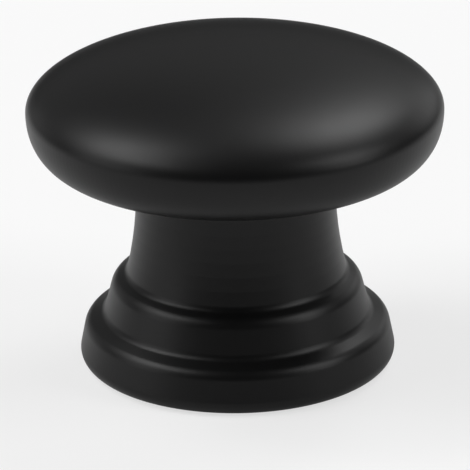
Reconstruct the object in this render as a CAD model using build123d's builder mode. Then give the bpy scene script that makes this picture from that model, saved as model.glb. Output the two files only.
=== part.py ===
"""Cabinet knob: one solid casting turned about +Z, standing on its seating face at z = 0.

Millimetres and degrees. The outline climbs from the seat to the crown as one smooth run of
straights and tangent arcs, so each stretch starts where the one below it ends.
"""
import os
from math import radians, sin, tan

from build123d import *

# Foot: the wide disc that seats on the door
FOOT_DIA = 24.3
FOOT_EDGE_R = 0.95
FOOT_WALL_LEAN = 11.3
FOOT_WALL_L = 1.65
FOOT_SHOULDER_R = 1.03
FOOT_LEDGE_RISE = 25.0
FOOT_LEDGE_L = 0.71
FOOT_COVE_R = 0.75

# Collar: the narrower second step
COLLAR_WALL_LEAN = 14.8
COLLAR_WALL_L = 1.85
COLLAR_SHOULDER_R = 1.27
COLLAR_LEDGE_RISE = 29.5
COLLAR_LEDGE_L = 0.38
COLLAR_COVE_R = 0.74

# Neck: a long hollow sweep to the waist, then a flare out to the head
NECK_LEAN = 13.1
NECK_RISE = 6.48
FLARE_RISE = 2.48
FLARE_FULLNESS = 0.6

# Head: drawn in below the rim, a low crown above it
HEAD_DIA = 32.0
HEAD_UNDER_H = 3.96
HEAD_UNDER_IN = 3.42
HEAD_UNDER_FULLNESS = 0.52
HEAD_RIM_FULLNESS = 0.66
CROWN_H = 4.4
CROWN_RIM_FULLNESS = 0.52
CROWN_TOP_FULLNESS = 0.62

# Tapped hole for the fixing screw, M4 x 0.7
THREAD_DIA = 4.0
THREAD_PITCH = 0.7
TAP_DEPTH = 12.0
MOUTH_MARGIN = 0.3
MOUTH_ANGLE = 90.0
DRILL_POINT_ANGLE = 118.0

# Sizes that follow
seat_r = FOOT_DIA / 2 - FOOT_EDGE_R
neck_r = NECK_RISE / sin(radians(NECK_LEAN))
head_r = HEAD_DIA / 2
under_r = head_r - HEAD_UNDER_IN
tap_r = (THREAD_DIA - THREAD_PITCH) / 2
mouth_r = THREAD_DIA / 2 + MOUTH_MARGIN
mouth_z = (mouth_r - tap_r) / tan(radians(MOUTH_ANGLE / 2))
point_z = TAP_DEPTH + tap_r / tan(radians(DRILL_POINT_ANGLE / 2))

# Turns of the arcs between the leaning walls and the rising ledges
foot_shoulder_turn = 90 - FOOT_WALL_LEAN - FOOT_LEDGE_RISE
foot_cove_turn = 90 - FOOT_LEDGE_RISE - COLLAR_WALL_LEAN
collar_shoulder_turn = 90 - COLLAR_WALL_LEAN - COLLAR_LEDGE_RISE
collar_cove_turn = 90 - COLLAR_LEDGE_RISE - NECK_LEAN

with BuildPart() as knob:
    with BuildSketch(Plane.XZ) as section:
        with BuildLine() as outline:
            seat = Line((0, 0), (seat_r, 0))
            foot_edge = JernArc(seat @ 1, (1, 0), FOOT_EDGE_R, 90 + FOOT_WALL_LEAN)
            foot_wall = PolarLine(foot_edge @ 1, FOOT_WALL_L, direction=foot_edge % 1)
            foot_shoulder = JernArc(foot_wall @ 1, foot_wall % 1, FOOT_SHOULDER_R, foot_shoulder_turn)
            foot_ledge = PolarLine(foot_shoulder @ 1, FOOT_LEDGE_L, direction=foot_shoulder % 1)
            foot_cove = JernArc(foot_ledge @ 1, foot_ledge % 1, FOOT_COVE_R, -foot_cove_turn)
            collar_wall = PolarLine(foot_cove @ 1, COLLAR_WALL_L, direction=foot_cove % 1)
            collar_shoulder = JernArc(collar_wall @ 1, collar_wall % 1, COLLAR_SHOULDER_R, collar_shoulder_turn)
            collar_ledge = PolarLine(collar_shoulder @ 1, COLLAR_LEDGE_L, direction=collar_shoulder % 1)
            collar_cove = JernArc(collar_ledge @ 1, collar_ledge % 1, COLLAR_COVE_R, -collar_cove_turn)
            neck = JernArc(collar_cove @ 1, collar_cove % 1, neck_r, -NECK_LEAN)
            waist = neck @ 1
            under_z = waist.Y + FLARE_RISE
            rim_z = under_z + HEAD_UNDER_H
            crown_z = rim_z + CROWN_H
            flare = Bezier(
                waist,
                (waist.X, waist.Y + FLARE_RISE * FLARE_FULLNESS),
                (under_r - (under_r - waist.X) * FLARE_FULLNESS, under_z),
                (under_r, under_z),
            )
            underside = Bezier(
                (under_r, under_z),
                (under_r + HEAD_UNDER_IN * HEAD_UNDER_FULLNESS, under_z),
                (head_r, rim_z - HEAD_UNDER_H * HEAD_RIM_FULLNESS),
                (head_r, rim_z),
            )
            crown = Bezier(
                (head_r, rim_z),
                (head_r, rim_z + CROWN_H * CROWN_RIM_FULLNESS),
                (head_r * CROWN_TOP_FULLNESS, crown_z),
                (0, crown_z),
            )
            axis_line = Line(crown @ 1, seat @ 0)
        make_face()
    revolve(axis=Axis.Z)

    with BuildSketch(Plane.XZ) as tapped_hole:
        with BuildLine() as hole_outline:
            Polyline(
                (0, 0),
                (mouth_r, 0),
                (tap_r, mouth_z),
                (tap_r, TAP_DEPTH),
                (0, point_z),
                close=True,
            )
        make_face()
    revolve(axis=Axis.Z, mode=Mode.SUBTRACT)

knob.part.label = "knob"
os.makedirs("parts", exist_ok=True)
export_step(knob.part, "parts/knob.step")
print(f"knob {knob.part.volume / 1000:.3f} cm3, {HEAD_DIA:.1f} mm across, {crown_z:.2f} mm tall")
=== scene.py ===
"""Studio scene of a round cabinet knob with a satin black coat.

The knob is one turned casting. A Geometry Nodes tree lathes its half-section about the
axis and cuts the screw thread into the hole underneath, and the piece stands for the CAD
node. The section's sizes are in millimetres, and every mesh is in metres.
"""

import logging
import math
from dataclasses import dataclass, field
from enum import Enum

import bpy
from mathutils import Matrix, Vector

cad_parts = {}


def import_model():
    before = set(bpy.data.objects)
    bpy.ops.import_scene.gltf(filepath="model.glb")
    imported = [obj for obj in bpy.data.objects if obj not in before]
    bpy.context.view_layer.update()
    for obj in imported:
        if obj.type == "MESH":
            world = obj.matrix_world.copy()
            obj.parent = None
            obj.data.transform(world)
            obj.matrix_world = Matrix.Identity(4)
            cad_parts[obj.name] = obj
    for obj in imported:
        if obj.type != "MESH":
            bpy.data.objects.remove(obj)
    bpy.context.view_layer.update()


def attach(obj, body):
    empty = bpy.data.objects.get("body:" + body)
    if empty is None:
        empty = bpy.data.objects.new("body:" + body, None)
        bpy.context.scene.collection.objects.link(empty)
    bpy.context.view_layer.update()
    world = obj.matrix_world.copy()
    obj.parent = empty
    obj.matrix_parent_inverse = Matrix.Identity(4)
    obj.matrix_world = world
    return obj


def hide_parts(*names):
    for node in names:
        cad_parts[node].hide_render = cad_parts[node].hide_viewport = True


MM = 0.001
IMAGE_SIDE = 470
SENSOR_MM = 36.0
ARC_STEP_DEG = 2.5
STRAIGHT_STEPS = 3

Point = tuple[float, float]
Colour = tuple[float, float, float]
Value = bpy.types.NodeSocket | float | int

log = logging.getLogger("knob_scene")


class Leaving(Enum):
    """Which way a rounded stretch of the section leaves its first point."""

    LEVEL = "level"
    UPRIGHT = "upright"


class Kind(Enum):
    """Socket types that the trees use."""

    GEOMETRY = "NodeSocketGeometry"
    FLOAT = "NodeSocketFloat"
    INT = "NodeSocketInt"
    VECTOR = "NodeSocketVector"
    MATERIAL = "NodeSocketMaterial"


@dataclass(frozen=True)
class Stretch:
    """One Bezier stretch of the section, with its two handles and the rows that it is cut into."""

    start: Point
    leave: Point
    arrive: Point
    end: Point
    steps: int

    def turned(self) -> "Stretch":
        """The same stretch from its end to its start."""
        return Stretch(self.end, self.arrive, self.leave, self.start, self.steps)


def straight(a: Point, b: Point, steps: int = STRAIGHT_STEPS) -> Stretch:
    """A straight stretch of the section.

    Args:
        a: First point, radius and height.
        b: Last point.
        steps: Rows that it is cut into.

    Returns:
        The stretch.
    """
    third = ((b[0] - a[0]) / 3, (b[1] - a[1]) / 3)
    return Stretch(a, (a[0] + third[0], a[1] + third[1]), (b[0] - third[0], b[1] - third[1]), b, steps)


def rounded(a: Point, b: Point, leaving: Leaving, full_a: float, full_b: float, steps: int) -> Stretch:
    """A quarter oval between two points, level at one end and upright at the other.

    Args:
        a: First point, radius and height.
        b: Last point.
        leaving: Which way the stretch leaves a; it arrives at b the other way.
        full_a: Handle at a, as a share of the distance along its own direction.
        full_b: Handle at b, likewise.
        steps: Rows that it is cut into.

    Returns:
        The stretch.
    """
    width, height = b[0] - a[0], b[1] - a[1]
    if leaving is Leaving.LEVEL:
        return Stretch(a, (a[0] + full_a * width, a[1]), (b[0], b[1] - full_b * height), b, steps)
    return Stretch(a, (a[0], a[1] + full_a * height), (b[0] - full_b * width, b[1]), b, steps)


class Run:
    """A run of straights and tangent arcs in the section, each starting where the last one ends."""

    def __init__(self, start: Point, heading: float) -> None:
        """Starts the run.

        Args:
            start: First point, radius and height.
            heading: First direction in degrees, 0 outward and 90 upward.
        """
        self.end = start
        self.heading = math.radians(heading)
        self.stretches: list[Stretch] = []

    def ahead(self, length: float) -> None:
        """Goes straight on.

        Args:
            length: How far, in millimetres.
        """
        goal = (self.end[0] + length * math.cos(self.heading), self.end[1] + length * math.sin(self.heading))
        self.stretches.append(straight(self.end, goal))
        self.end = goal

    def bend(self, radius: float, degrees: float) -> None:
        """Follows a circular arc.

        Args:
            radius: The arc's radius, in millimetres.
            degrees: Its turn, positive towards the axis and negative away from it.
        """
        turn = math.radians(degrees)
        side = math.copysign(radius, turn)
        start, self.heading = self.heading, self.heading + turn
        goal = (
            self.end[0] + side * (math.sin(self.heading) - math.sin(start)),
            self.end[1] - side * (math.cos(self.heading) - math.cos(start)),
        )
        reach = 4 / 3 * math.tan(turn / 4) * side
        leave = (self.end[0] + reach * math.cos(start), self.end[1] + reach * math.sin(start))
        arrive = (goal[0] - reach * math.cos(self.heading), goal[1] - reach * math.sin(self.heading))
        self.stretches.append(Stretch(self.end, leave, arrive, goal, math.ceil(abs(degrees) / ARC_STEP_DEG)))
        self.end = goal

    def downward(self) -> list[Stretch]:
        """The run's stretches from its end back to its start."""
        return [stretch.turned() for stretch in reversed(self.stretches)]


class TreeBuilder:
    """Adds nodes to one node tree and joins them."""

    def __init__(self, tree: bpy.types.NodeTree) -> None:
        """Keeps the tree that is built."""
        self.tree = tree

    def socket(self, name: str, kind: Kind, output: bool = False) -> str:
        """Adds a named socket to the tree's own interface.

        Args:
            name: The socket's name.
            kind: The socket's type.
            output: True for an output of the tree.

        Returns:
            The socket's identifier.
        """
        side = "OUTPUT" if output else "INPUT"
        return self.tree.interface.new_socket(name=name, in_out=side, socket_type=kind.value).identifier

    def add(self, kind: str, **settings: object) -> bpy.types.Node:
        """Adds a node.

        Args:
            kind: Blender's name of the node type.
            settings: Properties of the node to set.

        Returns:
            The new node.
        """
        node = self.tree.nodes.new(kind)
        for name, value in settings.items():
            setattr(node, name, value)
        return node

    def feed(self, target: bpy.types.NodeSocket, value: Value) -> None:
        """Links a socket to target, or sets a plain number on it.

        Args:
            target: The input socket.
            value: An output socket, or a number.
        """
        if isinstance(value, bpy.types.NodeSocket):
            self.tree.links.new(value, target)
        else:
            target.default_value = value

    def math(self, operation: str, *values: Value, clamp: bool = False) -> bpy.types.NodeSocket:
        """Adds a Math node.

        Args:
            operation: Blender's name of the operation.
            values: Its inputs in order.
            clamp: True to keep the result between 0 and 1.

        Returns:
            The result's socket.
        """
        node = self.add("ShaderNodeMath", operation=operation, use_clamp=clamp)
        for target, value in zip(node.inputs, values):
            self.feed(target, value)
        return node.outputs[0]

    def whole(self, operation: str, *values: Value) -> bpy.types.NodeSocket:
        """Adds an Integer Math node.

        Args:
            operation: Blender's name of the operation.
            values: Its inputs in order.

        Returns:
            The result's socket.
        """
        node = self.add("FunctionNodeIntegerMath", operation=operation)
        for target, value in zip(node.inputs, values):
            self.feed(target, value)
        return node.outputs[0]


@dataclass(frozen=True)
class KnobSection:
    """Sizes of the knob's half-section, in millimetres and degrees, from the seat up."""

    foot_dia: float = 24.3
    foot_edge_r: float = 0.95
    foot_wall_lean: float = 11.3
    foot_wall_l: float = 1.65
    foot_shoulder_r: float = 1.03
    foot_ledge_rise: float = 25.0
    foot_ledge_l: float = 0.71
    foot_cove_r: float = 0.75
    collar_wall_lean: float = 14.8
    collar_wall_l: float = 1.85
    collar_shoulder_r: float = 1.27
    collar_ledge_rise: float = 29.5
    collar_ledge_l: float = 0.38
    collar_cove_r: float = 0.74
    neck_lean: float = 13.1
    neck_rise: float = 6.48
    flare_rise: float = 2.48
    flare_fullness: float = 0.6
    head_dia: float = 32.0
    head_under_h: float = 3.96
    head_under_in: float = 3.42
    head_under_fullness: float = 0.52
    head_rim_fullness: float = 0.66
    crown_h: float = 4.4
    crown_rim_fullness: float = 0.52
    crown_top_fullness: float = 0.62
    tap_r: float = 1.65
    tap_depth: float = 12.0
    mouth_r: float = 2.3
    mouth_h: float = 0.65
    drill_point_deg: float = 118.0
    crown_steps: int = 72
    under_steps: int = 40
    flare_steps: int = 28
    bore_steps: int = 150

    def stem(self) -> Run:
        """The foot, the collar and the neck, from the seat's edge up to the waist."""
        run = Run((self.foot_dia / 2 - self.foot_edge_r, 0.0), 0.0)
        run.bend(self.foot_edge_r, 90 + self.foot_wall_lean)
        run.ahead(self.foot_wall_l)
        run.bend(self.foot_shoulder_r, 90 - self.foot_wall_lean - self.foot_ledge_rise)
        run.ahead(self.foot_ledge_l)
        run.bend(self.foot_cove_r, self.foot_ledge_rise + self.collar_wall_lean - 90)
        run.ahead(self.collar_wall_l)
        run.bend(self.collar_shoulder_r, 90 - self.collar_wall_lean - self.collar_ledge_rise)
        run.ahead(self.collar_ledge_l)
        run.bend(self.collar_cove_r, self.collar_ledge_rise + self.neck_lean - 90)
        run.bend(self.neck_rise / math.sin(math.radians(self.neck_lean)), -self.neck_lean)
        return run

    def head(self, waist: Point) -> list[Stretch]:
        """The crown, the rim's underside and the flare, from the top of the crown down.

        Args:
            waist: The neck's narrowest point, where the flare ends.

        Returns:
            The stretches in order.
        """
        head_r = self.head_dia / 2
        under = (head_r - self.head_under_in, waist[1] + self.flare_rise)
        rim = (head_r, under[1] + self.head_under_h)
        top = (0.0, rim[1] + self.crown_h)
        crown = self.crown_top_fullness, self.crown_rim_fullness, self.crown_steps
        underside = self.head_rim_fullness, self.head_under_fullness, self.under_steps
        flare = self.flare_fullness, self.flare_fullness, self.flare_steps
        return [
            rounded(top, rim, Leaving.LEVEL, *crown),
            rounded(rim, under, Leaving.UPRIGHT, *underside),
            rounded(under, waist, Leaving.LEVEL, *flare),
        ]

    def hole(self) -> list[Stretch]:
        """The seat, the hole's countersunk mouth, its wall and the drill's point."""
        seat_r = self.foot_dia / 2 - self.foot_edge_r
        tip = self.tap_depth + self.tap_r / math.tan(math.radians(self.drill_point_deg / 2))
        return [
            straight((seat_r, 0.0), (self.mouth_r, 0.0)),
            straight((self.mouth_r, 0.0), (self.tap_r, self.mouth_h)),
            straight((self.tap_r, self.mouth_h), (self.tap_r, self.tap_depth), self.bore_steps),
            straight((self.tap_r, self.tap_depth), (0.0, tip)),
        ]

    def curve(self, name: str) -> bpy.types.Object:
        """Draws the whole half-section in the XZ plane, each stretch as a Bezier spline of its own.

        Args:
            name: Name of the curve object.

        Returns:
            The curve object, linked to the scene.
        """
        stem = self.stem()
        stretches = [*self.head(stem.end), *stem.downward(), *self.hole()]
        data = bpy.data.curves.new(name, "CURVE")
        data.dimensions = "3D"
        for stretch in stretches:
            spline = data.splines.new("BEZIER")
            spline.bezier_points.add(1)
            spline.resolution_u = stretch.steps
            first, last = spline.bezier_points
            for point in (first, last):
                point.handle_left_type = point.handle_right_type = "FREE"
            first.co = first.handle_left = place(stretch.start)
            last.co = last.handle_right = place(stretch.end)
            first.handle_right, last.handle_left = place(stretch.leave), place(stretch.arrive)
        section = bpy.data.objects.new(name, data)
        bpy.context.scene.collection.objects.link(section)
        return section


def place(point: Point) -> Vector:
    """A section point in metres, in the XZ plane."""
    return Vector((point[0] * MM, 0.0, point[1] * MM))


@dataclass(frozen=True)
class ScrewThread:
    """The metric thread cut in the hole, in millimetres."""

    pitch: float = 0.7
    depth: float = 0.33
    start: float = 0.65
    end: float = 10.6
    fade: float = 0.5
    crest_share: float = 0.25
    root_share: float = 0.125


class LatheTree:
    """Geometry Nodes tree that turns a half-section into a solid with a threaded hole."""

    NAME = "turned_knob"
    HOLE_MARK = "in_hole"
    BARE_ABOVE = 0.4

    def __init__(self) -> None:
        """Builds the tree with its named inputs."""
        self.tree = bpy.data.node_groups.new(self.NAME, "GeometryNodeTree")
        self.build = TreeBuilder(self.tree)
        self.identifiers: dict[str, str] = {}
        self.build.socket("Geometry", Kind.GEOMETRY, output=True)
        self.build.socket("Section", Kind.GEOMETRY)
        for name, kind in (
            ("Turn Steps", Kind.INT),
            ("Hole Radius", Kind.FLOAT),
            ("Thread Pitch", Kind.FLOAT),
            ("Thread Depth", Kind.FLOAT),
            ("Thread Start", Kind.FLOAT),
            ("Thread End", Kind.FLOAT),
            ("Thread Fade", Kind.FLOAT),
            ("Crest Share", Kind.FLOAT),
            ("Root Share", Kind.FLOAT),
            ("Weld Distance", Kind.FLOAT),
            ("Crease Angle", Kind.FLOAT),
            ("Coat", Kind.MATERIAL),
            ("Bare Metal", Kind.MATERIAL),
        ):
            self.identifiers[name] = self.build.socket(name, kind)
        self.inputs = self.build.add("NodeGroupInput").outputs
        self._join()

    def _grid(self) -> tuple[bpy.types.NodeSocket, bpy.types.NodeSocket, bpy.types.NodeSocket]:
        """A grid with one column for each turn step and one row for each section point.

        Returns:
            The grid's mesh, each vertex's section position, and its turn from 0 to 1.
        """
        build = self.build
        line = build.add("GeometryNodeCurveToMesh")
        build.feed(line.inputs["Curve"], self.inputs["Section"])
        size = build.add("GeometryNodeAttributeDomainSize", component="MESH")
        build.feed(size.inputs["Geometry"], line.outputs["Mesh"])
        rows = size.outputs["Point Count"]
        grid = build.add("GeometryNodeMeshGrid")
        build.feed(grid.inputs["Vertices X"], build.whole("ADD", self.inputs["Turn Steps"], 1))
        build.feed(grid.inputs["Vertices Y"], rows)
        index = build.add("GeometryNodeInputIndex").outputs["Index"]
        column = build.whole("DIVIDE_FLOOR", index, rows)
        row = build.whole("MODULO", index, rows)
        sample = build.add("GeometryNodeSampleIndex", data_type="FLOAT_VECTOR", domain="POINT")
        build.feed(sample.inputs["Geometry"], line.outputs["Mesh"])
        build.feed(sample.inputs["Value"], build.add("GeometryNodeInputPosition").outputs["Position"])
        build.feed(sample.inputs["Index"], row)
        turn = build.math("DIVIDE", column, self.inputs["Turn Steps"])
        return grid.outputs["Mesh"], sample.outputs["Value"], turn

    def _groove(self, height: bpy.types.NodeSocket, turn: bpy.types.NodeSocket) -> bpy.types.NodeSocket:
        """How deep the thread is cut, from 0 on its crest to 1 at its root, faded at both ends.

        Args:
            height: Height along the hole.
            turn: Turn about the axis, from 0 to 1.

        Returns:
            The cut's share of the thread's depth.
        """
        build, given = self.build, self.inputs
        pitches = build.math("DIVIDE", height, given["Thread Pitch"])
        phase = build.math("FRACT", build.math("SUBTRACT", pitches, turn))
        off_root = build.math("ABSOLUTE", build.math("SUBTRACT", phase, 0.5))
        crest_edge = build.math("SUBTRACT", 0.5, build.math("MULTIPLY", given["Crest Share"], 0.5))
        flank = build.math("SUBTRACT", crest_edge, build.math("MULTIPLY", given["Root Share"], 0.5))
        cut = build.math("DIVIDE", build.math("SUBTRACT", crest_edge, off_root), flank, clamp=True)
        past_start = build.math("SUBTRACT", height, given["Thread Start"])
        before_end = build.math("SUBTRACT", given["Thread End"], height)
        fade_in = build.math("DIVIDE", past_start, given["Thread Fade"], clamp=True)
        fade_out = build.math("DIVIDE", before_end, given["Thread Fade"], clamp=True)
        return build.math("MULTIPLY", cut, build.math("MULTIPLY", fade_in, fade_out))

    def _join(self) -> None:
        """Wraps the grid round the axis, welds it, marks its creases and gives it its materials."""
        build, given = self.build, self.inputs
        mesh, position, turn = self._grid()
        parts = build.add("ShaderNodeSeparateXYZ")
        build.feed(parts.inputs["Vector"], position)
        radius, height = parts.outputs["X"], parts.outputs["Z"]
        on_wall = build.math("COMPARE", radius, given["Hole Radius"], given["Weld Distance"])
        share = build.math("MULTIPLY", self._groove(height, turn), on_wall)
        reach = build.math("ADD", radius, build.math("MULTIPLY", share, given["Thread Depth"]))
        angle = build.math("MULTIPLY", turn, math.tau)
        spot = build.add("ShaderNodeCombineXYZ")
        build.feed(spot.inputs["X"], build.math("MULTIPLY", reach, build.math("COSINE", angle)))
        build.feed(spot.inputs["Y"], build.math("MULTIPLY", reach, build.math("SINE", angle)))
        build.feed(spot.inputs["Z"], height)
        wrap = build.add("GeometryNodeSetPosition")
        build.feed(wrap.inputs["Geometry"], mesh)
        build.feed(wrap.inputs["Position"], spot.outputs["Vector"])
        mark = build.add("GeometryNodeStoreNamedAttribute", data_type="FLOAT", domain="POINT")
        mark.inputs["Name"].default_value = self.HOLE_MARK
        build.feed(mark.inputs["Geometry"], wrap.outputs["Geometry"])
        build.feed(mark.inputs["Value"], on_wall)
        weld = build.add("GeometryNodeMergeByDistance")
        build.feed(weld.inputs["Geometry"], mark.outputs["Geometry"])
        build.feed(weld.inputs["Distance"], given["Weld Distance"])
        turned = build.add("GeometryNodeFlipFaces")
        build.feed(turned.inputs["Mesh"], weld.outputs["Geometry"])
        smooth = build.add("GeometryNodeSetShadeSmooth", domain="EDGE")
        bend = build.add("GeometryNodeInputMeshEdgeAngle").outputs["Unsigned Angle"]
        build.feed(smooth.inputs["Geometry"], turned.outputs["Mesh"])
        build.feed(smooth.inputs["Shade Smooth"], build.math("LESS_THAN", bend, given["Crease Angle"]))
        real = build.add("GeometryNodeRealizeInstances")
        build.feed(real.inputs["Geometry"], smooth.outputs["Geometry"])
        coat = build.add("GeometryNodeSetMaterial")
        build.feed(coat.inputs["Geometry"], real.outputs["Geometry"])
        build.feed(coat.inputs["Material"], given["Coat"])
        inside = build.add("GeometryNodeInputNamedAttribute", data_type="FLOAT")
        inside.inputs["Name"].default_value = self.HOLE_MARK
        bare = build.add("GeometryNodeSetMaterial")
        build.feed(bare.inputs["Geometry"], coat.outputs["Geometry"])
        picked = build.math("GREATER_THAN", inside.outputs["Attribute"], self.BARE_ABOVE)
        build.feed(bare.inputs["Selection"], picked)
        build.feed(bare.inputs["Material"], given["Bare Metal"])
        build.feed(build.add("NodeGroupOutput").inputs["Geometry"], bare.outputs["Geometry"])


class GrainGroup:
    """Shader group of a surface's fine relief: a slow ripple under a fine grain, and broad clouds."""

    NAME = "fine_relief"
    RIPPLE_DETAIL = 2.0
    GRAIN_DETAIL = 3.0
    CLOUD_DETAIL = 3.0
    CLOUD_PER_RIPPLE = 0.2

    def __init__(self) -> None:
        """Builds the group with named inputs and outputs."""
        self.tree = bpy.data.node_groups.new(self.NAME, "ShaderNodeTree")
        build = TreeBuilder(self.tree)
        build.socket("Vector", Kind.VECTOR)
        for name in ("Ripple Scale", "Grain Scale", "Grain Share"):
            build.socket(name, Kind.FLOAT)
        for name in ("Height", "Cloud"):
            build.socket(name, Kind.FLOAT, output=True)
        given = build.add("NodeGroupInput").outputs
        ripple = self._noise(build, given["Vector"], given["Ripple Scale"], self.RIPPLE_DETAIL)
        grain = self._noise(build, given["Vector"], given["Grain Scale"], self.GRAIN_DETAIL)
        cloud_scale = build.math("MULTIPLY", given["Ripple Scale"], self.CLOUD_PER_RIPPLE)
        cloud = self._noise(build, given["Vector"], cloud_scale, self.CLOUD_DETAIL)
        mix = build.add("ShaderNodeMix", data_type="FLOAT")
        build.feed(mix.inputs["Factor"], given["Grain Share"])
        build.feed(mix.inputs["A"], ripple)
        build.feed(mix.inputs["B"], grain)
        out = build.add("NodeGroupOutput").inputs
        build.feed(out["Height"], mix.outputs["Result"])
        build.feed(out["Cloud"], cloud)

    @staticmethod
    def _noise(
        build: TreeBuilder, vector: bpy.types.NodeSocket, scale: bpy.types.NodeSocket, detail: float
    ) -> bpy.types.NodeSocket:
        """A Noise Texture's value.

        Args:
            build: Builder of the group.
            vector: Where the noise is read.
            scale: Its scale, per metre.
            detail: Its octaves.

        Returns:
            The noise's socket.
        """
        noise = build.add("ShaderNodeTexNoise", noise_dimensions="3D")
        build.feed(noise.inputs["Vector"], vector)
        build.feed(noise.inputs["Scale"], scale)
        noise.inputs["Detail"].default_value = detail
        return noise.outputs["Fac"]


@dataclass(frozen=True)
class Finish:
    """A finish with a fine relief: two tones that cloud into each other, gloss and grain."""

    name: str
    tone: Colour
    tone_alt: Colour
    roughness: tuple[float, float]
    specular: float
    metallic: float
    ripple_scale: float
    grain_scale: float
    grain_share: float
    relief_mm: float
    relief_strength: float
    lift: float = 0.0
    lift_mirrored: float = 0.0

    def material(self, relief: GrainGroup) -> bpy.types.Material:
        """Makes the finish's material.

        Args:
            relief: The shared relief group.

        Returns:
            The new material.
        """
        made = bpy.data.materials.new(self.name)
        made.use_nodes = True
        made.node_tree.nodes.clear()
        build = TreeBuilder(made.node_tree)
        shader = build.add("ShaderNodeBsdfPrincipled")
        shader.inputs["Metallic"].default_value = self.metallic
        shader.inputs["Specular IOR Level"].default_value = self.specular
        where = build.add("ShaderNodeTexCoord").outputs["Object"]
        grain = build.add("ShaderNodeGroup", node_tree=relief.tree)
        build.feed(grain.inputs["Vector"], where)
        grain.inputs["Ripple Scale"].default_value = self.ripple_scale
        grain.inputs["Grain Scale"].default_value = self.grain_scale
        grain.inputs["Grain Share"].default_value = self.grain_share
        tone = build.add("ShaderNodeMix", data_type="RGBA")
        build.feed(tone.inputs["Factor"], grain.outputs["Cloud"])
        tone.inputs["A"].default_value = (*self.tone, 1.0)
        tone.inputs["B"].default_value = (*self.tone_alt, 1.0)
        build.feed(shader.inputs["Base Color"], tone.outputs["Result"])
        gloss = build.add("ShaderNodeMapRange")
        build.feed(gloss.inputs["Value"], grain.outputs["Height"])
        gloss.inputs["To Min"].default_value, gloss.inputs["To Max"].default_value = self.roughness
        build.feed(shader.inputs["Roughness"], gloss.outputs["Result"])
        bump = build.add("ShaderNodeBump")
        bump.inputs["Strength"].default_value = self.relief_strength
        bump.inputs["Distance"].default_value = self.relief_mm * MM
        build.feed(bump.inputs["Height"], grain.outputs["Height"])
        build.feed(shader.inputs["Normal"], bump.outputs["Normal"])
        surface = shader.outputs["BSDF"]
        if self.lift:
            made.cycles.emission_sampling = "NONE"
            surface = self._lifted(build, surface)
        build.feed(build.add("ShaderNodeOutputMaterial").inputs["Surface"], surface)
        return made

    def _lifted(self, build: TreeBuilder, surface: bpy.types.NodeSocket) -> bpy.types.NodeSocket:
        """Mixes plain white into what the camera and reflections see, so that shadows stay pale.

        Args:
            build: Builder of the material.
            surface: The lit surface's shader.

        Returns:
            The mixed shader.
        """
        path = build.add("ShaderNodeLightPath").outputs
        mirrored = build.math("MAXIMUM", path["Is Glossy Ray"], path["Is Transmission Ray"])
        in_mirror = build.math("MULTIPLY", mirrored, self.lift_mirrored)
        in_view = build.math("MULTIPLY", path["Is Camera Ray"], self.lift)
        mix = build.add("ShaderNodeMixShader")
        build.feed(mix.inputs[0], build.math("MAXIMUM", in_view, in_mirror))
        build.feed(mix.inputs[1], surface)
        build.feed(mix.inputs[2], build.add("ShaderNodeEmission").outputs["Emission"])
        return mix.outputs["Shader"]


COAT = Finish(
    name="satin_black_coat",
    tone=(0.003, 0.003, 0.0031),
    tone_alt=(0.004, 0.004, 0.0041),
    roughness=(0.38, 0.42),
    specular=0.262,
    metallic=0.0,
    ripple_scale=900.0,
    grain_scale=7000.0,
    grain_share=0.45,
    relief_mm=0.004,
    relief_strength=0.25,
)
BARE_ZINC = Finish(
    name="bare_zinc",
    tone=(0.42, 0.42, 0.43),
    tone_alt=(0.52, 0.52, 0.53),
    roughness=(0.3, 0.45),
    specular=0.5,
    metallic=1.0,
    ripple_scale=1500.0,
    grain_scale=9000.0,
    grain_share=0.6,
    relief_mm=0.01,
    relief_strength=0.3,
)
FLOOR_PAPER = Finish(
    name="pale_floor",
    tone=(0.79, 0.79, 0.79),
    tone_alt=(0.81, 0.81, 0.81),
    roughness=(0.75, 0.85),
    specular=0.1,
    metallic=0.0,
    ripple_scale=60.0,
    grain_scale=900.0,
    grain_share=0.5,
    relief_mm=0.02,
    relief_strength=0.05,
    lift=0.65,
    lift_mirrored=0.2,
)


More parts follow.
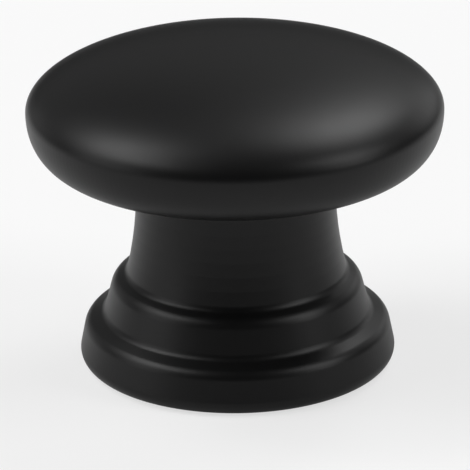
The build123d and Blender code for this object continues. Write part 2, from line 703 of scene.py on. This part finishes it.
@dataclass
class Knob:
    """The whole knob: one turned casting, coated black, with a tapped hole underneath."""

    section: KnobSection = field(default_factory=KnobSection)
    thread: ScrewThread = field(default_factory=ScrewThread)
    turn_steps: int = 220
    weld_mm: float = 0.0005
    crease_deg: float = 24.0

    def build(self, coat: bpy.types.Material, bare: bpy.types.Material) -> bpy.types.Object:
        """Turns the section into the knob's mesh.

        Args:
            coat: Material of the coated skin.
            bare: Material of the tapped hole.

        Returns:
            The knob, riding on the frame's body in place of its CAD node.
        """
        section = self.section.curve("knob_section")
        lathe = LatheTree()
        turning = section.modifiers.new("turning", "NODES")
        turning.node_group = lathe.tree
        for name, value in self._settings(coat, bare).items():
            turning[lathe.identifiers[name]] = value
        graph = bpy.context.evaluated_depsgraph_get()
        turned = section.evaluated_get(graph)
        mesh = bpy.data.meshes.new_from_object(turned, preserve_all_data_layers=True, depsgraph=graph)
        mesh.name = "knob_body"
        mesh.materials.pop(index=0)
        bpy.data.objects.remove(section)
        knob = bpy.data.objects.new("knob_body", mesh)
        bpy.context.scene.collection.objects.link(knob)
        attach(knob, "root")
        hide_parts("knob")
        return knob

    def _settings(self, coat: bpy.types.Material, bare: bpy.types.Material) -> dict[str, object]:
        """The lathe's inputs by name, with lengths in metres."""
        thread = self.thread
        return {
            "Turn Steps": self.turn_steps,
            "Hole Radius": self.section.tap_r * MM,
            "Thread Pitch": thread.pitch * MM,
            "Thread Depth": thread.depth * MM,
            "Thread Start": thread.start * MM,
            "Thread End": thread.end * MM,
            "Thread Fade": thread.fade * MM,
            "Crest Share": thread.crest_share,
            "Root Share": thread.root_share,
            "Weld Distance": self.weld_mm * MM,
            "Crease Angle": math.radians(self.crease_deg),
            "Coat": coat,
            "Bare Metal": bare,
        }


@dataclass(frozen=True)
class Softbox:
    """A flat studio light in metres, aimed at the knob. Azimuth 0 is behind it and 90 to its right."""

    name: str
    azimuth: float
    elevation: float
    width: float
    height: float
    watts: float
    distance: float = 0.8

    def build(self, aim: Vector) -> bpy.types.Object:
        """Hangs the light.

        Args:
            aim: The point that it faces.

        Returns:
            The light.
        """
        data = bpy.data.lights.new(self.name, "AREA")
        data.shape = "RECTANGLE"
        data.size, data.size_y = self.width, self.height
        data.energy = self.watts
        turn, rise = math.radians(self.azimuth), math.radians(self.elevation)
        away = Vector((math.sin(turn) * math.cos(rise), math.cos(turn) * math.cos(rise), math.sin(rise)))
        light = bpy.data.objects.new(self.name, data)
        light.location = aim + away * self.distance
        light.rotation_euler = away.to_track_quat("Z", "Y").to_euler()
        bpy.context.scene.collection.objects.link(light)
        return light


@dataclass
class Studio:
    """The pale floor, the softboxes and the room's own dim light, in metres."""

    floor_side: float = 0.5
    floor_front: float = 0.25
    floor_back: float = 0.185
    floor_drop: float = 0.00002
    room_level: float = 0.02
    aim_height: float = 0.012
    lights: tuple[Softbox, ...] = (
        Softbox("left_softbox", -86.0, 52.0, 0.44, 0.28, 2.06),
        Softbox("left_high_softbox", -60.0, 60.0, 0.26, 0.26, 1.04),
        Softbox("left_mid_softbox", -94.0, 36.0, 0.4, 0.26, 0.82),
        Softbox("left_low_softbox", -106.0, 13.0, 0.52, 0.34, 0.92),
        Softbox("front_left_softbox", -117.0, 50.0, 0.26, 0.28, 0.42),
        Softbox("back_right_softbox", 30.0, 50.0, 0.22, 0.32, 1.3),
        Softbox("right_high_softbox", 48.0, 56.0, 0.3, 0.24, 0.79),
        Softbox("front_right_softbox", 105.0, 42.0, 0.34, 0.36, 1.77),
        Softbox("front_right_low_softbox", 112.0, 18.0, 0.26, 0.26, 0.8),
        Softbox("back_strip", 0.0, 22.0, 1.4, 0.35, 0.32),
        Softbox("back_right_strip", 40.0, 16.0, 0.45, 0.32, 0.47),
        Softbox("back_left_strip", -48.0, 10.0, 0.4, 0.25, 0.17),
        Softbox("top_softbox", 0.0, 60.0, 0.5, 0.5, 0.09),
    )

    def build(self, floor_material: bpy.types.Material) -> None:
        """Lays the floor, hangs the lights and sets the room's level.

        Args:
            floor_material: Material of the floor.
        """
        self._lay_floor(floor_material)
        for light in self.lights:
            light.build(Vector((0.0, 0.0, self.aim_height)))
        world = bpy.data.worlds.new("room")
        world.use_nodes = True
        backdrop = world.node_tree.nodes["Background"]
        backdrop.inputs["Color"].default_value = (1.0, 1.0, 1.0, 1.0)
        backdrop.inputs["Strength"].default_value = self.room_level
        bpy.context.scene.world = world

    def _lay_floor(self, material: bpy.types.Material) -> None:
        """Lays the floor a hair below the seat, so that the two faces don't share a plane.

        Args:
            material: Material of the floor.
        """
        half, front, back, low = self.floor_side / 2, -self.floor_front, self.floor_back, -self.floor_drop
        corners = [(-half, front, low), (half, front, low), (half, back, low), (-half, back, low)]
        mesh = bpy.data.meshes.new("floor")
        mesh.from_pydata(corners, [], [(0, 1, 2, 3)])
        mesh.materials.append(material)
        floor = bpy.data.objects.new("floor", mesh)
        bpy.context.scene.collection.objects.link(floor)


@dataclass(frozen=True)
class PhotoCamera:
    """A long lens that looks down on the knob, in millimetres, degrees and image pixels."""

    CLIP_M = (0.01, 20.0)

    elevation: float = 22.08
    distance: float = 450.0
    focal_px: float = 5843.5
    aim_side: float = -0.104
    aim_height: float = 9.972
    roll: float = 0.738

    def build(self) -> bpy.types.Object:
        """Places the camera and makes it the scene's own.

        Returns:
            The camera.
        """
        data = bpy.data.cameras.new("photo_camera")
        data.sensor_width = SENSOR_MM
        data.lens = self.focal_px * SENSOR_MM / IMAGE_SIDE
        data.clip_start, data.clip_end = self.CLIP_M
        rise, roll = math.radians(self.elevation), math.radians(self.roll)
        away = Vector((0.0, -math.cos(rise), math.sin(rise)))
        level, up = Vector((1.0, 0.0, 0.0)), Vector((0.0, math.sin(rise), math.cos(rise)))
        right = level * math.cos(roll) - up * math.sin(roll)
        top = up * math.cos(roll) + level * math.sin(roll)
        spot = Vector((self.aim_side, 0.0, self.aim_height)) * MM + away * self.distance * MM
        camera = bpy.data.objects.new("photo_camera", data)
        camera.matrix_world = Matrix.Translation(spot) @ Matrix((right, top, away)).transposed().to_4x4()
        bpy.context.scene.collection.objects.link(camera)
        bpy.context.scene.camera = camera
        return camera


def main() -> None:
    """Loads the frame, then builds the knob, the studio and the camera."""
    logging.basicConfig(level=logging.INFO, format="%(name)s: %(message)s")
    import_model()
    bpy.context.scene.view_settings.view_transform = "Standard"
    relief = GrainGroup()
    knob = Knob().build(COAT.material(relief), BARE_ZINC.material(relief))
    log.info("%s: %d faces, %s", knob.name, len(knob.data.polygons), [m.name for m in knob.data.materials])
    studio = Studio()
    studio.build(FLOOR_PAPER.material(relief))
    log.info("studio: %d softboxes", len(studio.lights))
    camera = PhotoCamera().build()
    log.info("%s: lens %.1f mm", camera.name, camera.data.lens)


if __name__ == "__main__":
    main()
